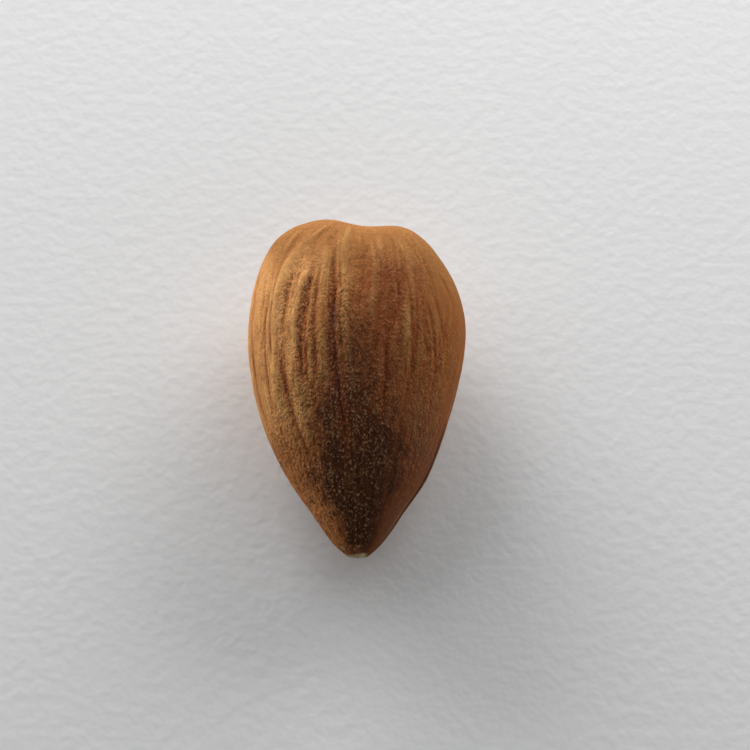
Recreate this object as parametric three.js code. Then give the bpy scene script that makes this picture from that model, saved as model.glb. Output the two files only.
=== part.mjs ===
// A whole apricot kernel in its brown skin, lying on its broad side.
// Millimetres, +Z up. +X runs across the kernel's width and +Y from its tip to its blunt end. The
// origin is on the surface that it lies on, under the middle of the kernel's outline.
import * as THREE from "three";

// The body before its lobes and its skin's relief
const LENGTH = 16.4;
const WIDTH = 10.25;
const THICKNESS = 6.3;
const SQUARENESS = 2.15; // the section's superellipse exponent, where 2 is a plain ellipse

// How width and thickness rise from the tip and fall to the blunt end, as powers of the distance
const WIDTH_RISE = 0.73;
const WIDTH_FALL = 0.33;
const THICKNESS_RISE = 0.75;
const THICKNESS_FALL = 0.4;

// The tip is a small blunt end with a rounded edge, behind a slight neck. Shares of the length.
const TIP_CUT = 0.0095;
const TIP_ROUNDING = 0.0074;
const NECK_DEPTH = 0.077; // share of the width
const NECK_AT = 0.12;
const NECK_REACH = 0.07;

// How far the middle line strays sideways, as one, two and three half waves along the body
const STRAY = [-0.125, -0.04, 0.058];

// The blunt end's two lobes, with the notch between them, and its slant from left to right
const LOBES = [
  { x: -1.35, height: 0.22, reach: 1.15 },
  { x: 2.66, height: 1.0, reach: 1.91 },
];
const END_SLANT = 0.27;

// The kernel leans towards its thin tip and has a small flat spot under its weight.
const LEAN = THREE.MathUtils.degToRad(4);
const FLAT_SPOT_SINK = 0.12;
const FLAT_SPOT = { y: 1.1, halfWidth: 1.9, halfLength: 2.4 };

// The grooves between the skin's veins on the upper face. Each follows a line along the body, given by
// its angle round the section in degrees, counted from the right-hand edge over the top. The angle is
// the one halfway between the groove's two shares of the length. Lean is how many degrees it gains
// over a whole length, and bow is how many it falls short a BOW_SPAN away from halfway.
const UPPER_GROOVES = [
  { angle: 3, lean: 25, bow: 0, depth: 0.13, reach: 0.16, from: 0.02, to: 0.42 }, // the seed's scar
  { angle: 35, lean: 95, bow: 0, depth: 0.06, reach: 0.2, from: 0.73, to: 0.88 },
  { angle: 43, lean: 80, bow: 0, depth: 0.05, reach: 0.18, from: 0.56, to: 0.82 },
  { angle: 50.5, lean: 50, bow: 0, depth: 0.06, reach: 0.18, from: 0.72, to: 0.96 },
  { angle: 55, lean: 40, bow: 0, depth: 0.04, reach: 0.18, from: 0.58, to: 0.84 },
  { angle: 62, lean: 24, bow: 0, depth: 0.05, reach: 0.18, from: 0.44, to: 0.93 },
  { angle: 68, lean: -33, bow: 0, depth: 0.06, reach: 0.18, from: 0.55, to: 0.91 },
  { angle: 74, lean: 0, bow: 0, depth: 0.06, reach: 0.18, from: 0.34, to: 0.95 },
  { angle: 87, lean: -15, bow: 0, depth: 0.08, reach: 0.28, from: 0.62, to: 0.94 },
  { angle: 99.6, lean: 11, bow: 1, depth: 0.12, reach: 0.18, from: 0.24, to: 0.94 }, // up to the notch
  { angle: 102.5, lean: 7, bow: 2, depth: 0.04, reach: 0.26, from: 0.4, to: 0.9 },
  { angle: 117, lean: -18, bow: 0, depth: 0.075, reach: 0.22, from: 0.44, to: 0.85 },
  { angle: 131.5, lean: -8, bow: 8, depth: 0.045, reach: 0.22, from: 0.22, to: 0.9 },
  { angle: 147, lean: -13, bow: 6, depth: 0.035, reach: 0.22, from: 0.28, to: 0.9 },
];

// The veins that stand up as ribs between them, along lines of the same kind
const UPPER_RIBS = [
  { angle: 63, lean: 10, bow: 0, height: 0.04, reach: 0.22, from: 0.46, to: 0.94 },
  { angle: 83, lean: -8, bow: 0, height: 0.05, reach: 0.22, from: 0.62, to: 0.93 },
  { angle: 95, lean: 13, bow: 2, height: 0.06, reach: 0.13, from: 0.3, to: 0.98 },
  { angle: 107, lean: 5, bow: 3, height: 0.085, reach: 0.25, from: 0.4, to: 0.89 },
  { angle: 122.5, lean: -10, bow: 4, height: 0.09, reach: 0.3, from: 0.24, to: 0.83 },
  { angle: 139, lean: -18, bow: 6, height: 0.06, reach: 0.3, from: 0.3, to: 0.91 },
];
const BOW_SPAN = 0.3; // share of the length
const GROOVE_RUN_OUT = 0.1; // share of the length over which a groove's end fades away
const RIB_RUN_OUT = 0.16;

// The underside's grooves are spaced like the upper ones, by a rule with waves in place of chance.
const LOWER_GROOVES = Array.from({ length: 15 }, (_, i) => ({
  angle: 165 + 13.5 * i + 2.5 * Math.sin(2.4 * i),
  lean: 12 * Math.sin(1.3 * i),
  bow: 0,
  depth: 0.1 + 0.035 * Math.sin(1.7 * i),
  reach: 0.22,
  from: 0.32 + 0.1 * Math.sin(1.1 * i),
  to: 0.88 + 0.05 * Math.sin(2.9 * i),
}));
const GROOVES = [...UPPER_GROOVES, ...LOWER_GROOVES];

// The mesh's columns of points draw closer together on the upper face, where its grooves are finer.
const COLUMNS = 156;
const UPPER_CROWDING = 14; // degrees
const ROWS = 38;

// Rises from 0 to 1 where the distance passes its peak, then falls to 0 at the far end.
function swell(share, rise, fall) {
  const peak = rise / (rise + fall);
  return (((share + TIP_CUT) / peak) ** rise * ((1 - share) / (1 - peak)) ** fall);
}

function tipRounding(share) {
  const short = Math.max(0, 1 - share / TIP_ROUNDING);
  return Math.sqrt(1 - short ** 2);
}

function halfWidth(share) {
  const neck = 1 - NECK_DEPTH * Math.exp(-(((share - NECK_AT) / NECK_REACH) ** 2));
  return (WIDTH / 2) * swell(share, WIDTH_RISE, WIDTH_FALL) * neck * tipRounding(share);
}

function halfThickness(share) {
  return (THICKNESS / 2) * swell(share, THICKNESS_RISE, THICKNESS_FALL) * tipRounding(share);
}

function stray(share) {
  return STRAY.reduce((sum, width, i) => sum + width * Math.sin((i + 1) * Math.PI * share), 0);
}

// How far the blunt end stands out lengthwise at a place across the width
function lobes(x) {
  const bumps = LOBES.map((lobe) => lobe.height * Math.exp(-(((x - lobe.x) / lobe.reach) ** 2)));
  return bumps[0] + bumps[1] - END_SLANT * x;
}

// How far a point lies round the section from the line of a groove or rib, in its reaches
function acrossLine(line, angle, share, radius) {
  const along = share - (line.from + line.to) / 2;
  const middle = line.angle + line.lean * along - line.bow * (along / BOW_SPAN) ** 2;
  const degrees = THREE.MathUtils.euclideanModulo(angle - middle + 180, 360) - 180;
  return (degrees * THREE.MathUtils.degToRad(radius)) / line.reach;
}

// 1 along a groove or rib, fading to 0 over the run-out inside each of its ends
function fade(line, share, runOut) {
  const start = THREE.MathUtils.smoothstep(share, line.from, line.from + runOut);
  const end = 1 - THREE.MathUtils.smoothstep(share, line.to - runOut, line.to);
  return start * end;
}

// How deep the skin lies under the smooth body at an angle and share of the length
function reliefDepth(angle, share, y, radius) {
  let depth = 0;
  for (const groove of GROOVES) {
    const across = acrossLine(groove, angle, share, radius);
    depth += groove.depth * fade(groove, share, GROOVE_RUN_OUT) * Math.exp(-(across ** 2));
  }
  for (const rib of UPPER_RIBS) {
    const across = acrossLine(rib, angle, share, radius);
    depth -= rib.height * fade(rib, share, RIB_RUN_OUT) * Math.exp(-(across ** 2));
  }
  return depth * clearOfFlatSpot(angle, y, radius);
}

// 0 on the underside where the flat spot lies, and 1 away from it
function clearOfFlatSpot(angle, y, radius) {
  const turns = THREE.MathUtils.degToRad(angle);
  if (Math.sin(turns) > 0) return 1;
  const across = (radius * Math.cos(turns)) / FLAT_SPOT.halfWidth;
  const along = (y - FLAT_SPOT.y) / FLAT_SPOT.halfLength;
  return THREE.MathUtils.smoothstep(Math.hypot(across, along), 0.85, 1.3);
}

// The skin at an angle round the section, in degrees, and a share of the length from the tip
function skinPoint(angle, share) {
  const wide = halfWidth(share);
  const thick = halfThickness(share);
  const turns = THREE.MathUtils.degToRad(angle);
  const [cosine, sine] = [Math.cos(turns), Math.sin(turns)];
  const power = 2 / SQUARENESS;
  const x = wide * Math.sign(cosine) * Math.abs(cosine) ** power;
  const z = thick * Math.sign(sine) * Math.abs(sine) ** power;
  const y = LENGTH * (share - 0.5) + lobes(x) * share ** 3;
  const inward = new THREE.Vector2(-cosine * thick, -sine * wide).normalize();
  const depth = reliefDepth(angle, share, y, Math.hypot(wide * sine, thick * cosine));
  return new THREE.Vector3(x + stray(share) + inward.x * depth, y, z + inward.y * depth);
}

// Rings of points from the tip to the blunt end, closed by one point at each end
function skin() {
  const points = [new THREE.Vector3(stray(0), -LENGTH / 2, 0)];
  for (let row = 1; row < ROWS; row++) {
    const share = (1 - Math.cos((Math.PI * row) / ROWS)) / 2;
    for (let column = 0; column < COLUMNS; column++) {
      const even = (360 * column) / COLUMNS;
      const crowding = UPPER_CROWDING * Math.cos(THREE.MathUtils.degToRad(even));
      points.push(skinPoint(even + crowding, share));
    }
  }
  points.push(new THREE.Vector3(stray(1), LENGTH / 2 + lobes(0), 0));
  const blunt = points.length - 1;

  const faces = [];
  for (let column = 0; column < COLUMNS; column++) {
    const next = (column + 1) % COLUMNS;
    faces.push(0, 1 + column, 1 + next);
    for (let row = 0; row < ROWS - 2; row++) {
      const near = 1 + row * COLUMNS;
      const far = near + COLUMNS;
      faces.push(near + column, far + column, far + next);
      faces.push(near + column, far + next, near + next);
    }
    const last = blunt - COLUMNS;
    faces.push(blunt, last + next, last + column);
  }
  return new THREE.BufferGeometry().setFromPoints(points).setIndex(faces);
}

// Leans the body, cuts its lowest skin level as the flat spot, and brings the origin under its middle.
function layDown(geometry) {
  geometry.rotateX(LEAN);
  geometry.computeBoundingBox();
  geometry.translate(0, 0, -geometry.boundingBox.min.z - FLAT_SPOT_SINK);
  const position = geometry.getAttribute("position");
  for (let i = 0; i < position.count; i++) {
    position.setZ(i, Math.max(0, position.getZ(i)));
  }
  geometry.computeBoundingBox();
  const middle = geometry.boundingBox.getCenter(new THREE.Vector3());
  geometry.translate(-middle.x, -middle.y, 0);
  geometry.computeVertexNormals();
  return geometry;
}

const kernel = new THREE.Mesh(
  layDown(skin()),
  new THREE.MeshStandardMaterial({ color: 0x8a5a33, roughness: 0.75, metalness: 0 }),
);
kernel.name = "kernel";

const apricotKernel = new THREE.Group();
apricotKernel.add(kernel);

export default apricotKernel;
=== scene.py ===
# %% [markdown]
# # An apricot kernel
# The seed out of an apricot stone: a flattened teardrop about 17 mm long, in a thin brown skin with
# veins along it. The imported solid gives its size, its form and its main grooves. This notebook makes
# the fine surface over it: veins, fibres and scurf as real relief, and the colours of dry skin. The
# whole skin is one grid of points worked out by formula, so each step below only has to say how deep
# or how dark the skin is at every point.

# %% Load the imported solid
from collections import namedtuple
import bpy
import numpy as np
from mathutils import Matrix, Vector


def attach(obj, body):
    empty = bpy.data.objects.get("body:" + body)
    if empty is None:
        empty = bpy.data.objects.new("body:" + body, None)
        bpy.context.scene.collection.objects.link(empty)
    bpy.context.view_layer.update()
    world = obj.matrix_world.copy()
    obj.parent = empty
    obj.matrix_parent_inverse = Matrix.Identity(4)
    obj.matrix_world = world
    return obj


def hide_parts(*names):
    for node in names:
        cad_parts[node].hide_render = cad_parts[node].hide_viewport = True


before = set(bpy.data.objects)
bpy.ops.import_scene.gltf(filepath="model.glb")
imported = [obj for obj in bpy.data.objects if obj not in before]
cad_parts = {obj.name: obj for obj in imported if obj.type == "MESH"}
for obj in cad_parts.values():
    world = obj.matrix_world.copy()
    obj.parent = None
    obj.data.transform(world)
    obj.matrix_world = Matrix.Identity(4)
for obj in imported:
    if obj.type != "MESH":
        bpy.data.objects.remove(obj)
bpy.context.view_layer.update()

# %% [markdown]
# ## The form of the body
# A kernel is round and flat at one end and drawn out to a tip at the other. It could be sculpted from
# a ball, but a formula keeps it exactly as large and as lopsided as the solid. Width and thickness
# both rise from the tip as a power of the distance and fall to the blunt end as another power, and
# the section is nearly an ellipse. The tip is a small blunt end with a slight neck behind it. The
# other end has two lobes with a notch between them. Blender works in metres here, and a kernel is
# easier to think of in millimetres, so the points are scaled once, when the mesh is made.

# %% Driving sizes of the body, in millimetres unless a comment says otherwise
MM = 0.001  # metres
LENGTH = 16.4
WIDTH = 10.25
THICKNESS = 6.3
SQUARENESS = 2.15  # exponent of the section, where 2 is a plain ellipse
WIDTH_RISE = 0.73  # powers of the distance from the tip and from the blunt end
WIDTH_FALL = 0.33
THICKNESS_RISE = 0.75
THICKNESS_FALL = 0.4
TIP_CUT = 0.0095  # shares of the length, down to the neck's reach
TIP_ROUNDING = 0.0074
NECK_AT = 0.12
NECK_REACH = 0.07
NECK_DEPTH = 0.077  # share of the width
STRAY = (-0.125, -0.04, 0.058)  # of the middle line, as one, two and three half waves
LEFT_LOBE = {"x": -1.35, "height": 0.22, "reach": 1.15}
RIGHT_LOBE = {"x": 2.66, "height": 1.0, "reach": 1.91}
END_SLANT = 0.27  # rise of the blunt end from right to left, as a slope
print("driving size:", WIDTH, "by", LENGTH, "by", THICKNESS, "mm, before lobes and relief")

# %% [markdown]
# ## A grid over the skin
# Each point of the skin has an angle round the section, in degrees from the right-hand edge over the
# top, and a share of the length from the tip. A ball's own grid would serve too, but its rings would
# be coarse where the detail is. Here the columns draw together on the upper face, and the rings draw
# towards both ends, where the form turns fastest.

# %% The grid of angles and shares
COLUMNS = 412
ROWS = 240
UPPER_CROWDING = 14  # degrees by which columns draw towards the upper face
END_CROWDING = 0.6  # 0 spaces the rings evenly, and 1 as points of a half circle seen from its side

steps = np.linspace(0, 1, ROWS + 1)[1:-1]
share = (END_CROWDING * (1 - np.cos(np.pi * steps)) / 2 + (1 - END_CROWDING) * steps)[:, None]
around = np.linspace(0, 2 * np.pi, COLUMNS, endpoint=False)[None, :]
angle = np.degrees(around) + UPPER_CROWDING * np.cos(around)
print("grid of", share.size, "rings of", angle.size, "points")


# %% Curves that every later step uses
def rise(value, low, high):
    """Smoothstep: 0 below low, 1 above high, and 3s squared minus 2s cubed between them."""
    s = np.clip((value - low) / (high - low), 0, 1)
    return s * s * (3 - 2 * s)


def fall(value, low, high):
    """The other way about: 1 below low and 0 above high."""
    return 1 - rise(value, low, high)


def run(at, start, end, run_out):
    """1 between start and end, fading to 0 over the run-out inside each."""
    return rise(at, start, start + run_out) * fall(at, end - run_out, end)


def hump(value, middle=0, reach=1):
    """A bell curve: e to the minus square of the distance from the middle in reaches."""
    return np.exp(-(((value - middle) / reach) ** 2))


print("halfway up a rise:", rise(0.5, 0, 1), "and one reach down a hump:", round(float(hump(1)), 2))


# %% Width, thickness and middle line along the body
def swell(at, rising, falling):
    """(at + cut) to the rising power, times (1 - at) to the falling power, with its peak at 1."""
    peak = rising / (rising + falling)
    return ((at + TIP_CUT) / peak) ** rising * ((1 - at) / (1 - peak)) ** falling


def tip_rounding(at):
    """A quarter circle that rounds the edge of the blunt tip."""
    return np.sqrt(1 - np.clip(1 - at / TIP_ROUNDING, 0, 1) ** 2)


def half_width(at):
    """Half the width, times the swell, with a shallow bell taken out for the neck."""
    neck = 1 - NECK_DEPTH * hump(at, NECK_AT, NECK_REACH)
    return WIDTH / 2 * swell(at, WIDTH_RISE, WIDTH_FALL) * neck * tip_rounding(at)


def half_thickness(at):
    """Half the thickness, times the swell."""
    return THICKNESS / 2 * swell(at, THICKNESS_RISE, THICKNESS_FALL) * tip_rounding(at)


def stray(at):
    """How far the middle line strays sideways: one, two and three half waves along the body."""
    return sum(width * np.sin((i + 1) * np.pi * at) for i, width in enumerate(STRAY))


def lobes(x):
    """How far the blunt end stands out: one bell curve for each lobe, and a slant."""
    bumps = sum(lobe["height"] * hump(x, lobe["x"], lobe["reach"]) for lobe in (LEFT_LOBE, RIGHT_LOBE))
    return bumps - END_SLANT * x


print("widest ring:", round(float(2 * half_width(share).max()), 2), "mm")

# %% The smooth body on the grid
turns = np.radians(angle) * np.ones_like(share)
cosine, sine = np.cos(turns), np.sin(turns)
wide, thick = half_width(share), half_thickness(share)
x = wide * np.sign(cosine) * np.abs(cosine) ** (2 / SQUARENESS)
z = thick * np.sign(sine) * np.abs(sine) ** (2 / SQUARENESS)
y = LENGTH * (share - 0.5) + lobes(x) * share**3
smooth_body = np.stack([x + stray(share), y, z], axis=-1)
inward = np.stack([-cosine * thick, np.zeros_like(turns), -sine * wide], axis=-1)
inward /= np.linalg.norm(inward, axis=-1, keepdims=True)
radius = np.hypot(wide * sine, thick * cosine)
print("smooth body, width and length:", round(float(np.ptp(x)), 2), round(float(np.ptp(y)), 2), "mm")


# %% [markdown]
# ## Unevenness
# Nothing on a dry seed is quite straight or quite even. Blender's texture nodes could add that when
# the picture is made, but here the shape itself has to change, so the noise is worked out on the
# points. A lattice of seeded values, blended smoothly, gives the same result on each run.

# %% Smooth noise
def lattice_noise(points, cell, seed):
    """Seeded values on a lattice with these cells, blended by the smoothstep of the place in a cell."""
    scaled = points / np.array(cell)
    corner = np.floor(scaled).astype(int)
    part = scaled - corner
    part = part * part * (3 - 2 * part)
    corner -= corner.min(axis=(0, 1))
    values = np.random.default_rng(seed).uniform(-1, 1, corner.max(axis=(0, 1)) + 2)
    total = np.zeros(points.shape[:2])
    for step in np.ndindex(2, 2, 2):
        weight = np.prod(np.where(step, part, 1 - part), axis=-1)
        total += weight * values[tuple(np.moveaxis(corner + step, -1, 0))]
    return total


wavering = 0.06 * lattice_noise(smooth_body, (0.9, 1.3, 0.9), 17)
unevenness = 1 + 0.5 * lattice_noise(smooth_body, (1.2, 1.6, 1.2), 18)
print("grooves waver by up to", round(float(np.abs(wavering).max()), 3), "mm")

# %% [markdown]
# ## Grooves between the veins
# The skin's veins leave grooves along the body, and stand up as ribs between them. Each groove or rib
# follows a line that leans and bows a little as it goes from one end to the other. The large ones are
# the solid model's own, along the same lines, but they grow shallow on the left lobe, where the skin
# is smooth. They could be drawn as curves and pressed into the mesh. Distances from a line are
# simpler: they also give the lips beside a groove, which catch the light, and later its colours.

# %% The lines that grooves and ribs follow
# Angle, lean and bow are in degrees, depth and reach in millimetres, start and end in shares of the length
Line = namedtuple("Line", "angle lean bow depth reach start end")
BOW_SPAN = 0.3  # share of the length


def across_line(line, sway=0):
    """Distance from a line round the section, in reaches of the line.

    The line's angle is its middle angle, plus the lean times the share of the length from the
    line's middle, less the bow times the square of that share over BOW_SPAN, plus the sway.
    """
    along = share - (line.start + line.end) / 2
    middle = line.angle + line.lean * along - line.bow * (along / BOW_SPAN) ** 2 + sway
    return (((angle - middle + 180) % 360 - 180) * np.radians(radius) + wavering) / line.reach


SCAR = Line(3, 25, 0, 0.13, 0.16, 0.02, 0.42)  # the seed's scar, near the tip on the right-hand edge
SEAM = Line(99.6, 11, 1, 0.12, 0.18, 0.24, 0.94)  # up the middle to the notch
print("seam and scar are", SEAM.depth, "and", SCAR.depth, "mm deep")

# %% The large grooves and ribs of the solid model
UPPER_GROOVES = [
    SCAR,
    Line(35, 95, 0, 0.06, 0.2, 0.73, 0.88),
    Line(43, 80, 0, 0.05, 0.18, 0.56, 0.82),
    Line(50.5, 50, 0, 0.06, 0.18, 0.72, 0.96),
    Line(55, 40, 0, 0.04, 0.18, 0.58, 0.84),
    Line(62, 24, 0, 0.05, 0.18, 0.44, 0.93),
    Line(68, -33, 0, 0.06, 0.18, 0.55, 0.91),
    Line(74, 0, 0, 0.06, 0.18, 0.34, 0.95),
    Line(87, -15, 0, 0.08, 0.28, 0.62, 0.94),
    SEAM,
    Line(102.5, 7, 2, 0.04, 0.26, 0.4, 0.9),
    Line(117, -18, 0, 0.075, 0.22, 0.44, 0.85),
    Line(131.5, -8, 8, 0.045, 0.22, 0.22, 0.9),
    Line(147, -13, 6, 0.035, 0.22, 0.28, 0.9),
]
UPPER_RIBS = [  # the depth of a rib's line is its height
    Line(63, 10, 0, 0.04, 0.22, 0.46, 0.94),
    Line(83, -8, 0, 0.05, 0.22, 0.62, 0.93),
    Line(95, 13, 2, 0.06, 0.13, 0.3, 0.98),
    Line(107, 5, 3, 0.085, 0.25, 0.4, 0.89),
    Line(122.5, -10, 4, 0.09, 0.3, 0.24, 0.83),
    Line(139, -18, 6, 0.06, 0.3, 0.3, 0.91),
]
LOWER_GROOVES = [
    Line(
        angle=165 + 13.5 * i + 2.5 * np.sin(2.4 * i),
        lean=12 * np.sin(1.3 * i),
        bow=0,
        depth=0.1 + 0.035 * np.sin(1.7 * i),
        reach=0.22,
        start=0.32 + 0.1 * np.sin(1.1 * i),
        end=0.88 + 0.05 * np.sin(2.9 * i),
    )
    for i in range(15)
]
print(len(UPPER_GROOVES), "grooves above,", len(LOWER_GROOVES), "below and", len(UPPER_RIBS), "ribs")

# %% The relief of the large grooves and ribs
RUN_OUT = 0.1  # share of the length over which a groove fades at each end
RIB_FOOT = 0.16  # the same for a rib at its tip end
RIB_HEAD = 0.07  # and at its blunt end
LIP = 0.2  # height of a lip, as a share of its groove's depth
SMOOTH_LOBE = 0.85  # share of their depth that grooves lose on the left lobe
TYPICAL_DEPTH = 0.09  # a groove this deep counts as 1 where the skin beside it is coloured


def creased(across):
    """A wide shallow bell and a narrow deep one, so that the groove is a crease between round ribs."""
    return 0.35 * hump(across) + 0.65 * hump(across, reach=0.42)


def lips(across, at, reach):
    """A low bell on each side of the groove."""
    return LIP * hump(np.abs(across), at, reach)


shallowing = 1 - SMOOTH_LOBE * rise(share, 0.74, 0.87) * (angle > 90)
large_grooves = np.zeros_like(turns)
large_relief = np.zeros_like(turns)
near_grooves = np.zeros_like(turns)
for line in UPPER_GROOVES + LOWER_GROOVES:
    across = across_line(line)
    strength = line.depth * unevenness * shallowing * run(share, line.start, line.end, RUN_OUT)
    large_grooves += strength * hump(across, reach=0.5)
    near_grooves += strength * hump(across, reach=1.5) / TYPICAL_DEPTH
    large_relief += strength * (creased(across) - lips(across, 1.7, 0.8))
for line in UPPER_RIBS:
    rib_run = rise(share, line.start, line.start + RIB_FOOT) * fall(share, line.end - RIB_HEAD, line.end)
    large_relief -= line.depth * unevenness * rib_run * hump(across_line(line))
print("deepest large groove:", round(float(large_grooves.max()), 3), "mm")

# %% [markdown]
# ## Thin grooves and soft folds
# Between the large grooves the skin is finely ribbed, too finely for the solid's facets. All of that
# could be left to chance, but the eye looks for the thin grooves on the upper face and for the soft
# folds on the two lobes, so those are placed one by one. A seeded draw places the rest, so that the
# skin is ribbed on all sides.

# %% The thin grooves, ribs and folds that show on the upper face
THIN_RUN_OUT = 0.08  # shares of the length
THIN_RIB_RUN_OUT = 0.04
THIN_GROOVES = [
    Line(129.5, -8, 8, 0.022, 0.09, 0.4, 0.78),
    Line(147.5, -13, 6, 0.03, 0.07, 0.36, 0.76),
    Line(129.5, 28, 8, 0.026, 0.1, 0.22, 0.5),
    Line(97.2, 12, 2, 0.03, 0.08, 0.5, 0.86),
    Line(110.8, -2, 3, 0.04, 0.08, 0.46, 0.84),
    Line(115, -8, 3, 0.03, 0.08, 0.44, 0.82),
    Line(119, -6, 2, 0.03, 0.09, 0.42, 0.8),
    Line(74, 8, -2, 0.025, 0.1, 0.3, 0.66),
    Line(81, 0, 0, 0.04, 0.09, 0.78, 0.97),
    Line(84, -12, 0, 0.04, 0.08, 0.7, 0.9),
    Line(70, 0, 0, 0.075, 0.08, 0.66, 0.95),
    Line(79, 25, 0, 0.03, 0.08, 0.72, 0.94),
    Line(58, 12, 0, 0.035, 0.09, 0.5, 0.8),
    Line(47, 60, 0, 0.04, 0.09, 0.5, 0.76),
    Line(140, -16, 6, 0.04, 0.09, 0.5, 0.88),
    Line(86, -55, 0, 0.035, 0.08, 0.79, 0.94),
    Line(56, 80, 0, 0.04, 0.09, 0.8, 0.94),
]
FOLDS = [
    Line(131, -60, 0, 0.045, 0.2, 0.8, 0.97),
    Line(113, -70, 0, 0.045, 0.2, 0.82, 0.98),
    Line(105, -10, 0, 0.04, 0.14, 0.82, 0.98),
    Line(86, -15, 0, 0.045, 0.16, 0.84, 0.99),
    Line(72, 20, 0, 0.04, 0.16, 0.84, 0.98),
]
THIN_RIBS = [
    Line(113.5, -8, 3, 0.03, 0.1, 0.44, 0.8),
    Line(98.7, 11, 1, 0.05, 0.085, 0.46, 0.92),
    Line(118, -170, 0, 0.035, 0.16, 0.86, 0.97),
    Line(136, -90, 0, 0.035, 0.18, 0.84, 0.95),
]


def lipped(across):
    """A bell for the groove, less its lips."""
    return hump(across) - lips(across, 1.9, 0.75)


thin_grooves = np.zeros_like(turns)
for line in THIN_GROOVES + FOLDS:
    groove_run = run(share, line.start, line.end, THIN_RUN_OUT)
    thin_grooves += line.depth * groove_run * lipped(across_line(line))
for line in THIN_RIBS:
    rib_run = run(share, line.start, line.end, THIN_RIB_RUN_OUT)
    thin_grooves -= line.depth * rib_run * hump(across_line(line))
print("placed by hand:", len(THIN_GROOVES), "thin grooves,", len(FOLDS), "folds,", len(THIN_RIBS), "ribs")

# %% The thin grooves that a seeded draw places
DRAWN_GROOVES = 110
draw = np.random.default_rng(7)
drawn_depth = 1 - 0.45 * hump(angle, 48, 15) - 0.5 * hump(angle, 160, 14)
for i in range(DRAWN_GROOVES):
    middle = 360 * (i + draw.uniform(-0.4, 0.4)) / DRAWN_GROOVES
    start = draw.uniform(0.15, 0.6)
    end = min(start + draw.uniform(0.15, 0.45), 0.93)
    wander = draw.uniform(0.4, 1.2) * np.sin(draw.uniform(5, 16) * share + draw.uniform(0, 6.3))
    lean = draw.uniform(-10, 10)
    depth, reach = draw.uniform(0.005, 0.025), draw.uniform(0.07, 0.12)
    across = across_line(Line(middle, lean, 0, depth, reach, start, end), wander)
    thin_grooves += depth * drawn_depth * run(share, start, end, THIN_RUN_OUT) * lipped(across)
print("deepest thin groove:", round(float(thin_grooves.max()), 3), "mm")

# %% [markdown]
# ## Creases, fibres and scurf
# Dry kernel skin is rough to the touch. It has creases that wander and meet, short fibres along the
# veins, and mealy grains of scurf. Sculpting brushes could dab them on. Noise does it evenly and
# again at any time: creases lie where a smooth random field passes zero, fibres are a field on a
# coordinate that runs with the veins, and scurf is long grains, one at a seeded place in each cell of
# a lattice.

# %% Creases that wander and meet
UNROLLED_RADIUS = 4.2  # millimetres, about the section's mean, so that fibres keep their width
unrolled_axes = (UNROLLED_RADIUS * cosine, LENGTH * share, UNROLLED_RADIUS * sine)
unrolled = np.stack(np.broadcast_arrays(*unrolled_axes), axis=-1)
warped = unrolled + 0.25 * lattice_noise(unrolled, (0.8, 1.5, 0.8), 20)[..., None]
creases = np.zeros_like(turns)
for cell, seed in (((0.42, 3.0, 0.42), 21), ((0.3, 1.8, 0.3), 22)):
    creases += 0.5 * hump(lattice_noise(warped, cell, seed), 0, 0.13)
crease_area = run(share, 0.3, 0.97, 0.15) * rise(sine, -0.4, 0.3)
print("creases cover", round(float((creases > 0.25).mean()), 2), "of the skin")


# %% Grains, fibres, lumps and patches
def grains(points, cell, seed):
    """The highest bell within reach, of one seeded grain with its own height in each lattice cell."""
    scaled = points / np.array(cell)
    corner = np.floor(scaled).astype(int)
    corner -= corner.min(axis=(0, 1)) - 1
    scaled -= np.floor(scaled) - corner
    generator = np.random.default_rng(seed)
    cells = tuple(corner.max(axis=(0, 1)) + 2)
    places = generator.uniform(0, 1, (*cells, 3))
    heights = generator.uniform(0, 1, cells) ** 2
    highest = np.zeros(points.shape[:2])
    for step in np.ndindex(3, 3, 3):
        index = corner + np.array(step) - 1
        at = tuple(np.moveaxis(index, -1, 0))
        distance = np.linalg.norm(scaled - index - places[at], axis=-1)
        highest = np.maximum(highest, heights[at] * np.exp(-((distance / 0.45) ** 2)))
    return highest


fibres = lattice_noise(unrolled, (0.2, 1.3, 0.2), 11)
fibres += 0.7 * lattice_noise(unrolled, (0.13, 0.6, 0.13), 12)
scurf = grains(smooth_body, (0.14, 0.36, 0.14), 13)
lumps = lattice_noise(smooth_body, (1.1, 2.2, 1.1), 14)
lumps += 0.5 * lattice_noise(smooth_body, (0.5, 0.9, 0.5), 23)
patches = lattice_noise(smooth_body, (0.9, 1.6, 0.9), 16)
print("scurf stands up to", round(float(scurf.max()), 2), "of its height")

# %% [markdown]
# ## Where the skin is rough
# The crests of ribs are rubbed smooth, and the lobes are nearly smooth all over. Grit collects in the
# valleys left of the middle, on their slopes, beside the seam and towards the tip. A painted mask
# could say where. Here each rough part is a small formula of the angle, the share of the length and
# the relief, and the roughest part at a point counts.

# %% Slopes left of the seam that fall towards it, away from the light: rough, and painted in shade
column_spacing = radius * np.radians(np.gradient(angle[0]))
fall_to_right = -np.gradient(large_relief, axis=1) / column_spacing
# These slopes face away from the light. They carry rough grit relief, and their red-brown colour is painted
# shade.
grit_and_shade_slopes = rise(fall_to_right, 0.05, 0.25) * rise(angle, 108, 115) * fall(angle, 124, 142)
grit_and_shade_slopes *= run(share + 0.03 * patches, 0.4, 0.86, 0.12)
print("these slopes cover", round(float((grit_and_shade_slopes > 0.5).mean()), 3), "of the skin")

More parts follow.
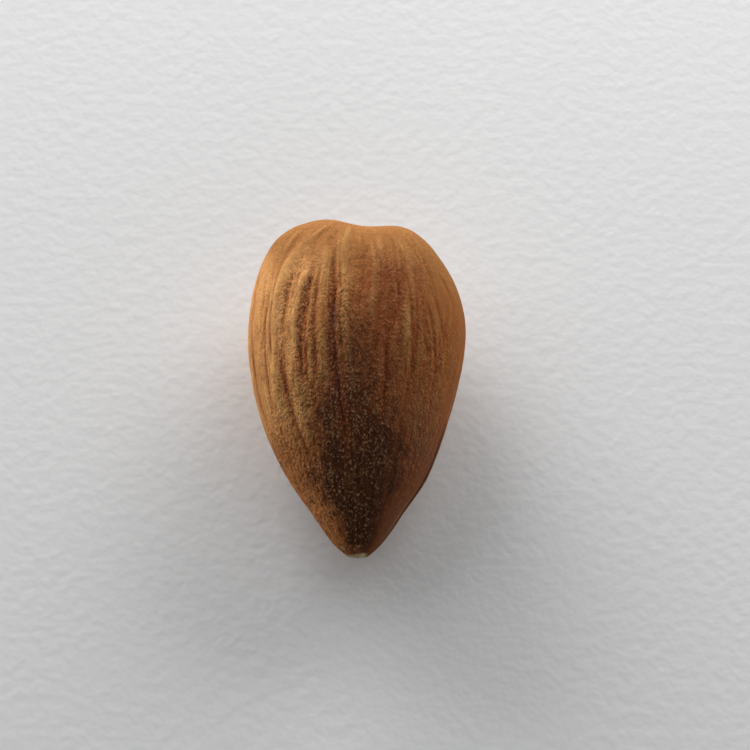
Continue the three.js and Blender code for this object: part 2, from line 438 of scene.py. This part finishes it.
# %% Rough parts
valley = 0.35 + 0.65 * rise(large_relief, -0.07, 0.02)
fibrous = valley * hump(angle, 116, 30) * run(share + 0.03 * patches, 0.1, 0.86, 0.12)
fibrous *= 1 - 0.35 * hump(angle, 131, 8) * rise(share, 0.5, 0.62)
mealy_from = -1.25 + 0.3 * rise(share, 0.3, 0.5)
mealy = run(cosine, mealy_from, 0.6, 0.4) * fall(share, 0.3, 0.75) * (sine > 0)
middling = 0.38 * hump(angle, 72, 24) * run(share + 0.03 * patches, 0.3, 0.92, 0.12)
left_edge = 0.95 * hump(angle, 145, 30) * run(share, 0.03, 0.4, 0.1)
right_edge = 0.45 * hump(angle, 45, 25) * run(share, 0.1, 0.75, 0.15)
near_tip = fall(share, 0.14, 0.36) * run(cosine, -1.4, 0.55, 0.4) * (sine > -0.2)
line_beside_seam = Line(96, 13, 2, depth=0, reach=0.3, start=0.3, end=0.98)
beside_seam = 0.9 * hump(across_line(line_beside_seam)) * run(share, 0.42, 0.84, 0.12)
rough_parts = [fibrous, mealy, middling, left_edge, right_edge, near_tip, beside_seam, 0.7 * grit_and_shade_slopes]
smoothest = 0.15 + 0.15 * rise(share, 0.8, 0.9) + 0.35 * fall(sine, -0.5, -0.1)
rough_area = smoothest + 0.85 * np.max(rough_parts, axis=0)
pitted = hump(angle, 138, 32) * fall(share, 0.1, 0.34)
print("roughness from", round(float(rough_area.min()), 2), "to", round(float(rough_area.max()), 2))

# %% [markdown]
# ## The worn tip
# At the very tip the skin is rubbed off and the cream seed shows, as a thin arc with a separate small
# flake to the left of it. A second object could stand for the seed inside. One skin that drops by its
# own thickness at a ragged edge looks the same and stays closed.

# %% Where the skin is worn off
SKIN_THICKNESS = 0.07
worn_edge = 0.0055 + 0.002 * hump(angle, 60, 30)
ragged = share + 0.003 * lattice_noise(smooth_body, (0.3, 0.3, 0.3), 15)
flake = hump(angle, 152, 14) * hump(share, 0.024, 0.007)
bare = np.maximum(fall(ragged - worn_edge, -0.002, 0.002), rise(flake, 0.4, 0.6))
print("bare points:", int((bare > 0.5).sum()))

# %% [markdown]
# ## The whole relief, laid down
# All the reliefs add up, and the points move inward by the sum. A displacement texture could do that
# while the picture is made, but points that have moved are there in every picture and in the export.
# The kernel then leans a little towards its thin tip, as it does on a level surface, and its lowest
# skin is cut level as the small flat spot that it rests on. No relief crosses that spot, so the cut
# stays clean.

# %% Relief and the kernel's rest
CREASE_DEPTH = 0.022
FIBRE_HEIGHT = 0.012
SCURF_HEIGHT = 0.027
LUMP_HEIGHT = 0.03
END_RUN_OUT = 0.03  # share of the length over which relief fades before each end
LEAN = np.radians(4)
FLAT_SPOT_SINK = 0.12
FLAT_SPOT = {"y": 1.1, "half_width": 1.9, "half_length": 2.4}

across_spot = radius * cosine / FLAT_SPOT["half_width"]
along_spot = (y - FLAT_SPOT["y"]) / FLAT_SPOT["half_length"]
clear = np.where(sine < 0, rise(np.hypot(across_spot, along_spot), 0.85, 1.3), 1.0)
raised = rough_area * (FIBRE_HEIGHT * fibres + SCURF_HEIGHT * scurf) * (1 + 0.7 * pitted)
raised += LUMP_HEIGHT * lumps * (1 + 0.7 * hump(angle, 152, 18))
sunk = large_relief + thin_grooves + CREASE_DEPTH * creases * crease_area - raised
relief = sunk * clear * run(share, 0.0, 1.0, END_RUN_OUT) + SKIN_THICKNESS * bare
skin_points = smooth_body + inward * relief[..., None]


def leaned(points):
    """Turns y and z by the lean, about the line across the kernel."""
    leaning = points.copy()
    leaning[:, 1] = points[:, 1] * np.cos(LEAN) - points[:, 2] * np.sin(LEAN)
    leaning[:, 2] = points[:, 1] * np.sin(LEAN) + points[:, 2] * np.cos(LEAN)
    return leaning


tip_point = np.array([stray(0), -LENGTH / 2 + SKIN_THICKNESS, 0])
blunt_point = np.array([stray(1), LENGTH / 2 + lobes(0), 0])
points = leaned(np.concatenate([tip_point[None], skin_points.reshape(-1, 3), blunt_point[None]]))
points[:, 2] = np.maximum(points[:, 2] - points[:, 2].min() - FLAT_SPOT_SINK, 0)
points[:, :2] -= (points[:, :2].min(axis=0) + points[:, :2].max(axis=0)) / 2
print("kernel size:", np.round(np.ptp(points, axis=0), 3), "mm")


# %% [markdown]
# ## The mesh
# Rings of quads cover the skin, and one point at each end closes it, so the piece is watertight. The
# points could be smoothed by a modifier, but they are close enough together to need none.

# %% Make the mesh
def closed_grid_faces(rings, columns):
    """Quads between rings, a fan of triangles from the first point and one from the last."""
    column = np.arange(columns)
    following = (column + 1) % columns
    near = 1 + np.arange(rings - 1)[:, None] * columns
    far = near + columns
    quads = np.stack([near + column, far + column, far + following, near + following], axis=-1)
    last = 1 + (rings - 1) * columns
    tip_fan = np.stack([0 * column, 1 + column, 1 + following], axis=-1)
    blunt_fan = np.stack([0 * column + last + columns, last + following, last + column], axis=-1)
    return quads.reshape(-1, 4).tolist() + tip_fan.tolist() + blunt_fan.tolist()


mesh = bpy.data.meshes.new("kernel_skin")
mesh.from_pydata((points * MM).tolist(), [], closed_grid_faces(ROWS - 1, COLUMNS))
mesh.shade_smooth()
kernel = bpy.data.objects.new("kernel_skin", mesh)
bpy.context.scene.collection.objects.link(kernel)
print("mesh:", len(mesh.vertices), "points,", len(mesh.polygons), "faces")

# %% [markdown]
# ## What the colours follow
# The skin is tan, and paler on the upper half of its left flank, partly in its own colour and partly by
# painted light from the lamps on that side. It is brown on the two lobes and red-brown along the upper
# middle. A dark wedge widens towards the tip, between russet on its left and maroon on its right. The
# seam and the scar are darker still, the scar partly by painted shade. The depths of the grooves and the
# slopes left of the seam that face away from the light are darkened as painted shade. Vertex paint could
# hold the finished colours, but masks leave every colour to the material, where it can be changed at any
# time. A mask is 0 where its colour is absent and 1, or a little more, where it is full. Noise in the
# edges of the broad fields keeps them from looking stencilled.

# %% Masks for the broad fields
upper = rise(sine, -0.3, 0.3)
lobe = rise(share + 0.03 * patches - 0.03 * rise(angle, 130, 155), 0.715, 0.885)
# The upper left flank, on the side of the lamps, is painted paler: partly the skin's own tone, partly
# painted light.
pale_and_lit_side = rise(angle, 100, 125) * fall(angle, 190, 230)
pale = pale_and_lit_side * rise(share + 0.2 * rise(angle, 106, 122), 0.44, 0.63)
low_down = fall(share, 0.45, 0.65)
rusty = hump(angle, 113 + 10 * low_down, 9 + 4 * low_down) * run(share, 0.36, 0.84, 0.15)
russet = fall(share + 0.04 * patches, 0.12, 0.45) * rise(sine, -0.6, 0.1) * (x < 0)
maroon = fall(share + 0.04 * patches, 0.26, 0.58) * (rise(sine, -0.6, 0.1) * rise(cosine, 0.1, 0.7))
reddish_middle = 0.03 + 0.2 * rise(share, 0.55, 0.7)
right_reach = 0.36 + 0.24 * fall(share, 0.6, 0.75)
left_reach = 0.36 - 0.1 * rise(share, 0.56, 0.66)
reddish_reach = np.where(cosine > reddish_middle, right_reach, left_reach)
reddish_run = run(share + 0.03 * patches, 0.36, 0.92, 0.14)
reddish = hump(cosine, reddish_middle, reddish_reach) * reddish_run * upper
print("lobes cover", round(float((lobe > 0.5).mean()), 2), "of the skin")

# %% Masks for the dark wedge and its rusty margin
# The wedge's edges at shares of the length, as places from -1 at the left edge to 1 at the right
LEFT_BOUND = (
    (0.08, -0.75),
    (0.2, -1),
    (0.26, -0.8),
    (0.3, -0.66),
    (0.35, -0.54),
    (0.4, -0.49),
    (0.46, -0.28),
)
RIGHT_BOUND = ((0.2, 0.95), (0.26, 0.92), (0.3, 0.84), (0.35, 0.7), (0.4, 0.6), (0.5, 0.5))
RIGHT_FADE = 0.5
left_bound = np.interp(share, *zip(*LEFT_BOUND))
right_bound = np.interp(share, *zip(*RIGHT_BOUND))
left_fade = 0.5 - 0.2 * rise(share, 0.26, 0.4)
edge_noise = 0.1 * patches + 0.1 * lattice_noise(smooth_body, (0.25, 0.5, 0.25), 24)
across_wedge = cosine + edge_noise
wedge_sides = rise(across_wedge, left_bound, left_bound + left_fade)
wedge_sides = wedge_sides * fall(across_wedge, right_bound - RIGHT_FADE, right_bound)
wedge_length = fall(share + 0.06 * patches, 0.4, 0.78) * upper
wedge = wedge_sides * wedge_length
margin = 4 * wedge_sides * (1 - wedge_sides) * wedge_length
print("the wedge covers", round(float((wedge > 0.5).mean()), 2), "of the skin")

# %% Masks for the seam, the scar and the patch behind the worn tip
# The scar is dark partly in its own colour and partly by painted shade, where its rim turns under.
scar = hump(across_line(SCAR), reach=1.2) * run(share, SCAR.start, SCAR.end, 0.08)
from_seam = across_line(SEAM)
seam_reach = np.where(from_seam > 0, 1.2 + 1.8 * fall(share, 0.5, 0.64), 1.0)
seam = hump(from_seam, reach=seam_reach) * run(share, 0.34, 0.76, 0.14)
tip_patch = hump(angle, 110, 40) * fall(share + 0.006 * patches, 0.016, 0.034)
print("darkest of the seam:", round(float(seam.max()), 2))

# %% Masks for grooves and crests, from the relief itself
FULL_LARGE = 0.13  # millimetres of depth that count as one
FULL_THIN = 0.05
FULL_CREST = 0.04
DARKEST = 1.6

all_grooves = large_grooves / FULL_LARGE + np.clip(thin_grooves, 0, None) / FULL_THIN
all_grooves = all_grooves + 0.7 * creases * crease_area
# The deeper the groove or crease, the darker it is painted: painted shade in the recesses.
groove = np.clip(all_grooves, 0, DARKEST) / DARKEST
groove *= 1 - 0.75 * rise(share, 0.72, 0.86)
groove *= 0.55 + 0.45 * rise(sine, -0.1, 0.3)
crest = np.clip(-(large_relief + thin_grooves) / FULL_CREST + 0.4 * fibres * rough_area, 0, 1)
crest *= 1 - 0.5 * rise(share + 0.1 * rise(cosine, 0, 0.3), 0.76, 0.86)
crest *= 1 - 0.8 * hump(angle, 77, 7) * hump(share, 0.74, 0.06)
strokes_shown = 0.3 * fall(share, 0.72, 0.82)
strokes_shown = strokes_shown + (1 - strokes_shown) * rise(angle, 86, 104)
strokes_shown *= 0.35 + 0.65 * rise(sine, -0.1, 0.3)
near_groove = np.clip(near_grooves, 0, 1) * (1 - 0.7 * rise(share, 0.8, 0.92)) * strokes_shown
# more whitish specks, partly painted glints, on the left towards the tip
more_flecks_and_glints = 1 + 0.4 * fall(cosine, -0.1, 0.15) * fall(share, 0.24, 0.34)
print("crests cover", round(float((crest > 0.5).mean()), 2), "of the skin")

# %% Keep the masks on the mesh, each with its value at the tip's point and at the blunt end's
MASKS = {
    "lobe": (lobe, 0, 1),
    # partly painted light on the upper left flank
    "pale": (pale, 0, 0),
    "reddish": (reddish, 0, 0),
    "wedge": (wedge, 1, 0),
    "russet": (russet, 0, 0),
    "maroon": (maroon, 0, 0),
    # the scar's own dark colour, with painted shade
    "scar": (scar, 0, 0),
    "seam": (seam * np.clip(unevenness, 0.5, 1), 0, 0),
    "margin": (margin, 0, 0),
    # painted shade on the slopes that face away from the light, which are also rough
    "grit_and_shade_slopes": (grit_and_shade_slopes, 0, 0),
    "pitted": (pitted, 0, 0),
    "rusty": (rusty, 0, 0),
    "tip_patch": (tip_patch, 1, 0),
    "mealy": (mealy * more_flecks_and_glints, 1, 0),
    "near_groove": (near_groove, 0, 0),
    # groove colour, with painted shade in the depths
    "groove": (groove, 0, 0),
    "crest": (crest, 0, 0),
    "rough": (rough_area, 1, 0.3),
    "bare": (bare, 1, 0),
}
for name, (values, at_tip, at_blunt) in MASKS.items():
    layer = mesh.attributes.new(name, "FLOAT", "POINT")
    numbers = np.concatenate([[at_tip], values.ravel(), [at_blunt]])
    layer.data.foreach_set("value", numbers.astype(np.float32))
flow = mesh.attributes.new("flow", "FLOAT_VECTOR", "POINT")
flow_points = np.concatenate([[unrolled[0, 0]], unrolled.reshape(-1, 3), [unrolled[-1, 0]]])
flow.data.foreach_set("vector", flow_points.ravel().astype(np.float32))
print("masks kept on the mesh:", [layer.name for layer in mesh.attributes if layer.domain == "POINT"])


# %% [markdown]
# ## Helpers for materials
# A material in Blender is a tree of nodes. Wires could be drawn by hand in the shader editor. In a
# script a few small helpers keep the tree readable: one adds a node and fills its sockets, one mixes
# two colours by a mask, and the others read masks and do arithmetic on them.

# %% Node helpers
def fill(socket, value):
    """Links another node's output to a socket, or sets the socket's own value."""
    if isinstance(value, bpy.types.NodeSocket):
        socket.id_data.links.new(value, socket)
    else:
        socket.default_value = value


def add_node(tree, kind, sockets=None, **settings):
    """Adds a node, sets its properties, and fills its sockets with values or with other outputs."""
    node = tree.nodes.new(kind)
    for name, value in settings.items():
        setattr(node, name, value)
    for name, value in (sockets or {}).items():
        fill(node.inputs[name], value)
    return node


def mix_colours(tree, cover, first, second):
    """The first colour where the cover is 0 and the second where it is 1."""
    node = add_node(tree, "ShaderNodeMix", data_type="RGBA", blend_type="MIX")
    factor, under, over = node.inputs[0], node.inputs[6], node.inputs[7]
    fill(factor, cover)
    for socket, colour in ((under, first), (over, second)):
        fill(socket, (*colour, 1.0) if isinstance(colour, tuple) else colour)
    return node.outputs[2]


def calculate(tree, operation, *values):
    """One arithmetic step on numbers or sockets."""
    node = add_node(tree, "ShaderNodeMath", operation=operation)
    for socket, value in zip(node.inputs, values):
        fill(socket, value)
    return node.outputs[0]


def product(tree, first, *others):
    """Masks and numbers multiplied, from left to right."""
    for other in others:
        first = calculate(tree, "MULTIPLY", first, other)
    return first


def ramp(tree, value, low, high, from_value=0.0, to_value=1.0):
    """A smooth ramp between two values, held level outside them."""
    sockets = {"Value": value, "From Min": low, "From Max": high, "To Min": from_value, "To Max": to_value}
    return add_node(tree, "ShaderNodeMapRange", sockets, interpolation_type="SMOOTHSTEP").outputs[0]


def stretched(tree, vector, scale):
    """A coordinate, scaled along its three axes."""
    return add_node(tree, "ShaderNodeMapping", {"Vector": vector, "Scale": scale}).outputs[0]


def mask(tree, name):
    """Reads one of the mesh's masks."""
    return add_node(tree, "ShaderNodeAttribute", attribute_name=name).outputs["Fac"]


print("helpers ready")


# %% [markdown]
# ## A grain for dry surfaces
# Scurf on skin and the tooth of a pale board are the same kind of thing at different sizes: small
# grains that stand up, with gaps between them. Each material could have its own noise nodes, but one
# node group makes both and keeps them alike. It gives a height for the bump, a mask for the tops of
# the grains and one for the gaps between them.

# %% The node group for grain
def make_grain():
    """Height is a noise of a few octaves, tops are where it is high, and gaps are where it is low."""
    group = bpy.data.node_groups.new("Dry grain", "ShaderNodeTree")
    group.interface.new_socket("Vector", in_out="INPUT", socket_type="NodeSocketVector")
    group.interface.new_socket("Scale", in_out="INPUT", socket_type="NodeSocketFloat")
    for name in ("Height", "Tops", "Gaps"):
        group.interface.new_socket(name, in_out="OUTPUT", socket_type="NodeSocketFloat")
    given = add_node(group, "NodeGroupInput").outputs
    sockets = {"Vector": given["Vector"], "Scale": given["Scale"], "Detail": 1.5, "Roughness": 0.5}
    noise = add_node(group, "ShaderNodeTexNoise", sockets).outputs[0]
    masks = {"Height": noise, "Tops": ramp(group, noise, 0.55, 0.7), "Gaps": ramp(group, noise, 0.46, 0.32)}
    add_node(group, "NodeGroupOutput", masks)
    return group


GRAIN = make_grain()


def add_grain(tree, vector, scale):
    """Puts the group into a tree and gives its outputs."""
    node = add_node(tree, "ShaderNodeGroup", node_tree=GRAIN)
    fill(node.inputs["Vector"], vector)
    fill(node.inputs["Scale"], scale)
    return node.outputs


print("node group:", GRAIN.name)

# %% [markdown]
# ## The skin's colours
# The skin is dry and matt. Its colour is laid on in thin coats, as a varnisher would, each by its own
# mask and over all the coats before. One picture of the whole skin could hold them, but coats stay
# sharp at any distance, and any one of them can be changed alone. Colours are linear red, green and
# blue.

# %% Colours
FLANK_TAN = (0.31, 0.11, 0.028)
# paler tan of the upper left flank, partly its own tone and partly painted light
PALE_TAN_AND_PAINTED_LIGHT = (0.7, 0.34, 0.115)
RUST = (0.4, 0.105, 0.03)
LOBE_BROWN = (0.265, 0.106, 0.024)
RED_BROWN = (0.17, 0.046, 0.012)
DARK_BROWN = (0.055, 0.019, 0.011)
RUSSET = (0.6, 0.214, 0.064)
MAROON = (0.175, 0.064, 0.033)
# the scar's dark colour, partly painted shade
SCAR_AND_SHADE_BROWN = (0.03, 0.01, 0.009)
SEAM_PURPLE = (0.075, 0.022, 0.022)
# painted shade on the slopes that face away from the light
PAINTED_SHADE_RED = (0.17, 0.045, 0.025)
TIP_RED = (0.32, 0.1, 0.045)
GROOVE_RED = (0.36, 0.08, 0.014)
# dark brown for strokes beside the grooves, and painted shade in the depths of grooves
STROKE_AND_SHADE_BROWN = (0.07, 0.018, 0.009)
CREST_TAN = (0.67, 0.38, 0.13)
# whitish specks: partly pale scurf, partly painted glints
FLECK_AND_GLINT = (0.58, 0.34, 0.23)
GAP_BROWN = (0.085, 0.024, 0.008)
CREAM = (0.62, 0.5, 0.27)
print("the tan that lies under all coats:", FLANK_TAN)


# %% Patterns that run with the veins or lie evenly over the skin
def skin_patterns(tree):
    """Noise on the flow coordinate gives streaks and strokes; noise in millimetres gives grains."""

    def noise(vector, scale, detail):
        sockets = {"Vector": vector, "Scale": scale, "Detail": detail}
        return add_node(tree, "ShaderNodeTexNoise", sockets).outputs[0]

    place = add_node(tree, "ShaderNodeTexCoord").outputs["Object"]
    along = add_node(tree, "ShaderNodeAttribute", attribute_name="flow").outputs["Vector"]
    in_long_mm = stretched(tree, place, (1000, 450, 1000))
    in_short_mm = stretched(tree, place, (1000, 700, 1000))
    strokes = noise(stretched(tree, along, (1, 0.12, 1)), 9.0, 1.5)
    fine = add_grain(tree, in_short_mm, 10.5)
    return {
        "streaks": ramp(tree, noise(stretched(tree, along, (1, 0.2, 1)), 4.0, 5), 0.32, 0.68),
        "red strokes": ramp(tree, strokes, 0.5, 0.62),
        "dark strokes": ramp(tree, strokes, 0.46, 0.36),
        "blotches": ramp(tree, noise(in_long_mm, 0.9, 4), 0.3, 0.7),
        "scurf": add_grain(tree, in_long_mm, 5.0),
        "fine": fine,
        # pale specks, partly scurf and partly painted glints
        "specks_and_glints": ramp(tree, fine["Height"], 0.56, 0.72),
    }


print("patterns of the skin are defined")


# %% Coats for the broad fields, from the flank's tan up
def field_coats(tree, patterns):
    """Pairs of a mask and a colour, in the order in which they are laid on."""
    streaks = patterns["streaks"]
    return [
        # partly painted light: the upper left flank painted paler
        (mask(tree, "pale"), PALE_TAN_AND_PAINTED_LIGHT),
        (mask(tree, "lobe"), LOBE_BROWN),
        (mask(tree, "russet"), RUSSET),
        (mask(tree, "maroon"), MAROON),
        (product(tree, mask(tree, "rusty"), 0.6), RUST),
        (product(tree, patterns["blotches"], 0.2), LOBE_BROWN),
        (product(tree, mask(tree, "reddish"), ramp(tree, streaks, 0.0, 1.0, 0.75, 1.0)), RED_BROWN),
        (product(tree, mask(tree, "crest"), 0.38), CREST_TAN),
        (product(tree, mask(tree, "margin"), 0.4), RUST),
        (product(tree, mask(tree, "wedge"), ramp(tree, streaks, 0.0, 1.0, 0.8, 1.0)), DARK_BROWN),
        (product(tree, streaks, 0.18), RED_BROWN),
    ]


print("coats for the broad fields are defined")


# %% Coats in and beside the grooves, and on the scar, the seam and the tip
def line_coats(tree, patterns):
    """Grooves are red at their edges and brown in their depths, the brown partly painted shade, with
    strokes of both beside them.
    """
    inside, beside = mask(tree, "groove"), mask(tree, "near_groove")
    gritty = calculate(tree, "MULTIPLY_ADD", patterns["fine"]["Gaps"], 0.35, 0.15)
    return [
        (product(tree, beside, patterns["red strokes"], 0.7), GROOVE_RED),
        (product(tree, beside, patterns["dark strokes"], 0.5), STROKE_AND_SHADE_BROWN),
        (product(tree, inside, 0.7), GROOVE_RED),
        # painted shade: the deeper the groove, the more dark brown
        (product(tree, inside, inside, 0.8), STROKE_AND_SHADE_BROWN),
        # painted shade: the slopes that face away from the light are darkened to red-brown, speckled by the
        # fine grain
        (product(tree, mask(tree, "grit_and_shade_slopes"), gritty), PAINTED_SHADE_RED),
        # partly painted shade: the scar's rim where it turns under
        (product(tree, mask(tree, "scar"), 0.85), SCAR_AND_SHADE_BROWN),
        (product(tree, mask(tree, "seam"), 0.75), SEAM_PURPLE),
        (mask(tree, "tip_patch"), TIP_RED),
    ]


print("coats for the grooves, the scar, the seam and the tip are defined")


# %% Coats for the grains, and last the cream of the bare seed
def grain_coats(tree, patterns):
    """Gaps between grains are dark and their tops pale, the more so where the skin is rough. Whitish specks
    are partly pale scurf and partly painted glints.
    """
    coarse, fine = patterns["scurf"], patterns["fine"]
    rough, pits = mask(tree, "rough"), mask(tree, "pitted")
    patchy = product(tree, mask(tree, "mealy"), ramp(tree, patterns["blotches"], 0.0, 1.0, 0.6, 1.0))
    fleck_and_glint_cover = calculate(tree, "MULTIPLY_ADD", patchy, 0.35, 0.12)
    return [
        (product(tree, coarse["Gaps"], rough, 0.4), GAP_BROWN),
        (product(tree, coarse["Tops"], rough, 0.15), CREST_TAN),
        (product(tree, fine["Gaps"], rough, 0.45), GAP_BROWN),
        (product(tree, fine["Tops"], rough, 0.25), CREST_TAN),
        (product(tree, pits, coarse["Gaps"], 0.7), GAP_BROWN),
        (product(tree, pits, fine["Tops"], 0.35), CREST_TAN),
        # partly painted glints: specks of scurf that catch the light, paler than the skin's own colour
        (product(tree, patterns["specks_and_glints"], rough, fleck_and_glint_cover), FLECK_AND_GLINT),
        (mask(tree, "bare"), CREAM),
    ]


print("coats for the grains and the bare seed are defined")


# %% [markdown]
# ## The skin's finish
# Dry skin scatters light with hardly any gloss, so the roughness is high and the specular level low.
# Relief finer than the mesh's points, a tenth of a millimetre at most, comes from a bump. It could be
# geometry too, but at that size only its shading shows.

# %% Material of the skin
def make_skin():
    """Lays all coats over the flank's tan, and bumps the surface by grains and streaks."""
    material = bpy.data.materials.new("kernel_skin")
    material.use_nodes = True
    tree = material.node_tree
    surface = tree.nodes["Principled BSDF"]
    patterns = skin_patterns(tree)
    coats = field_coats(tree, patterns) + line_coats(tree, patterns) + grain_coats(tree, patterns)
    colour = FLANK_TAN
    for cover, over in coats:
        colour = mix_colours(tree, cover, colour, over)
    print("coats over the flank's tan:", len(coats))
    height = calculate(tree, "MULTIPLY_ADD", patterns["fine"]["Height"], 0.8, patterns["scurf"]["Height"])
    height = calculate(tree, "MULTIPLY_ADD", patterns["streaks"], 0.25, height)
    height = product(tree, height, ramp(tree, mask(tree, "rough"), 0.0, 1.0, 0.2, 1.0))
    bump = add_node(tree, "ShaderNodeBump", {"Height": height, "Strength": 1.0, "Distance": 0.1 * MM})
    fill(surface.inputs["Base Color"], colour)
    fill(surface.inputs["Normal"], bump.outputs[0])
    surface.inputs["Roughness"].default_value = 0.75
    surface.inputs["Specular IOR Level"].default_value = 0.08
    return material


mesh.materials.append(make_skin())
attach(kernel, "root")
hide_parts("kernel")
print("nodes in the skin's material:", len(mesh.materials[0].node_tree.nodes))

# %% [markdown]
# ## The floor
# The kernel lies on a plain pale board with a slight tooth, wide enough to fill the view. A curved
# backdrop would do for a low camera. From high up a flat square is enough.

# %% The floor
FLOOR_HALF = 0.4  # metres
corners = [(sx * FLOOR_HALF, sy * FLOOR_HALF, 0) for sx, sy in ((-1, -1), (1, -1), (1, 1), (-1, 1))]
floor_mesh = bpy.data.meshes.new("floor")
floor_mesh.from_pydata(corners, [], [(0, 1, 2, 3)])
floor = bpy.data.objects.new("floor", floor_mesh)
bpy.context.scene.collection.objects.link(floor)


def make_board():
    """Pale grey all over, with the grain group's height as a faint bump."""
    material = bpy.data.materials.new("pale_board")
    material.use_nodes = True
    tree = material.node_tree
    surface = tree.nodes["Principled BSDF"]
    place = add_node(tree, "ShaderNodeTexCoord").outputs["Object"]
    tooth = add_grain(tree, stretched(tree, place, (1000, 1000, 1000)), 1.8)
    sockets = {"Height": tooth["Height"], "Strength": 0.4, "Distance": 0.05 * MM}
    fill(surface.inputs["Normal"], add_node(tree, "ShaderNodeBump", sockets).outputs[0])
    surface.inputs["Base Color"].default_value = (0.78, 0.78, 0.78, 1)
    surface.inputs["Roughness"].default_value = 0.85
    return material


floor_mesh.materials.append(make_board())
print("floor:", 2 * FLOOR_HALF, "m square")

# %% [markdown]
# ## The camera
# It looks along the kernel from beyond its tip, from 65 degrees above the floor. A wide lens from
# close by would swell the near tip. A longer lens from 12 cm away keeps the kernel's proportions.

# %% Camera
AIM = Vector((0.86, 0.58, 3.0)) * MM
DISTANCE = 120 * MM
ELEVATION = np.radians(65)
PICTURE_PIXELS = 750
PIXELS_PER_MM = 21.0  # at the distance of the aim
FRAME_WIDTH = PICTURE_PIXELS / PIXELS_PER_MM * MM
SENSOR_WIDTH = 36  # millimetres, in which Blender gives the lens too
camera_data = bpy.data.cameras.new("camera")
camera_data.sensor_width = SENSOR_WIDTH
camera_data.lens = SENSOR_WIDTH * DISTANCE / FRAME_WIDTH
camera_data.clip_start = 0.01
camera = bpy.data.objects.new("camera", camera_data)
camera.location = AIM + DISTANCE * Vector((0, -np.cos(ELEVATION), np.sin(ELEVATION)))
camera.rotation_euler = (AIM - camera.location).to_track_quat("-Z", "Y").to_euler()
bpy.context.scene.collection.objects.link(camera)
bpy.context.scene.camera = camera
print("lens:", round(camera_data.lens), "mm")

# %% [markdown]
# ## The lights
# A wide, low row of soft panels behind the kernel rakes across its skin, so that the relief shows,
# and throws a soft shadow towards the viewer. Higher panels on the left and overhead fill it in, and
# weak ones in front and on the right keep the near side from going black. A picture of a studio all
# round could light it too, but panels can be moved one at a time.

# %% Lights
PANELS = [  # name, bearing and height in degrees, distance, width and height in metres, watts
    ("back", 86, 17, 0.2, 0.28, 0.1, 0.4),
    ("back right", 55, 18, 0.2, 0.14, 0.08, 0.2),
    ("back left", 120, 12, 0.35, 0.25, 0.12, 1.2),
    ("high left", 138, 36, 0.4, 0.45, 0.2, 0.36),
    ("left", 160, 9, 0.4, 0.25, 0.1, 0.3),
    ("right", 25, 12, 0.35, 0.2, 0.1, 0.15),
    ("overhead", 40, 60, 0.25, 0.15, 0.15, 0.035),
    ("front right", 335, 20, 0.4, 0.2, 0.1, 0.045),
    ("front", 290, 15, 0.4, 0.3, 0.15, 0.14),
]


def area_light(name, bearing, height, distance, width, tall, power):
    """A light panel at a bearing, anticlockwise from +X, and a height, that faces the middle."""
    data = bpy.data.lights.new(name, "AREA")
    data.shape = "RECTANGLE"
    data.size, data.size_y, data.energy = width, tall, power
    light = bpy.data.objects.new(name, data)
    level, up = np.radians(bearing), np.radians(height)
    direction = Vector((np.cos(up) * np.cos(level), np.cos(up) * np.sin(level), np.sin(up)))
    light.location = direction * distance
    light.rotation_euler = (-direction).to_track_quat("-Z", "Y").to_euler()
    bpy.context.scene.collection.objects.link(light)


for panel in PANELS:
    area_light(*panel)
world = bpy.data.worlds.new("studio")
bpy.context.scene.world = world
world.use_nodes = True
background = world.node_tree.nodes["Background"]
background.inputs["Color"].default_value = (0.92, 0.96, 1.0, 1)
background.inputs["Strength"].default_value = 0.016
bpy.context.scene.view_settings.view_transform = "Standard"
print("light panels:", len(PANELS))
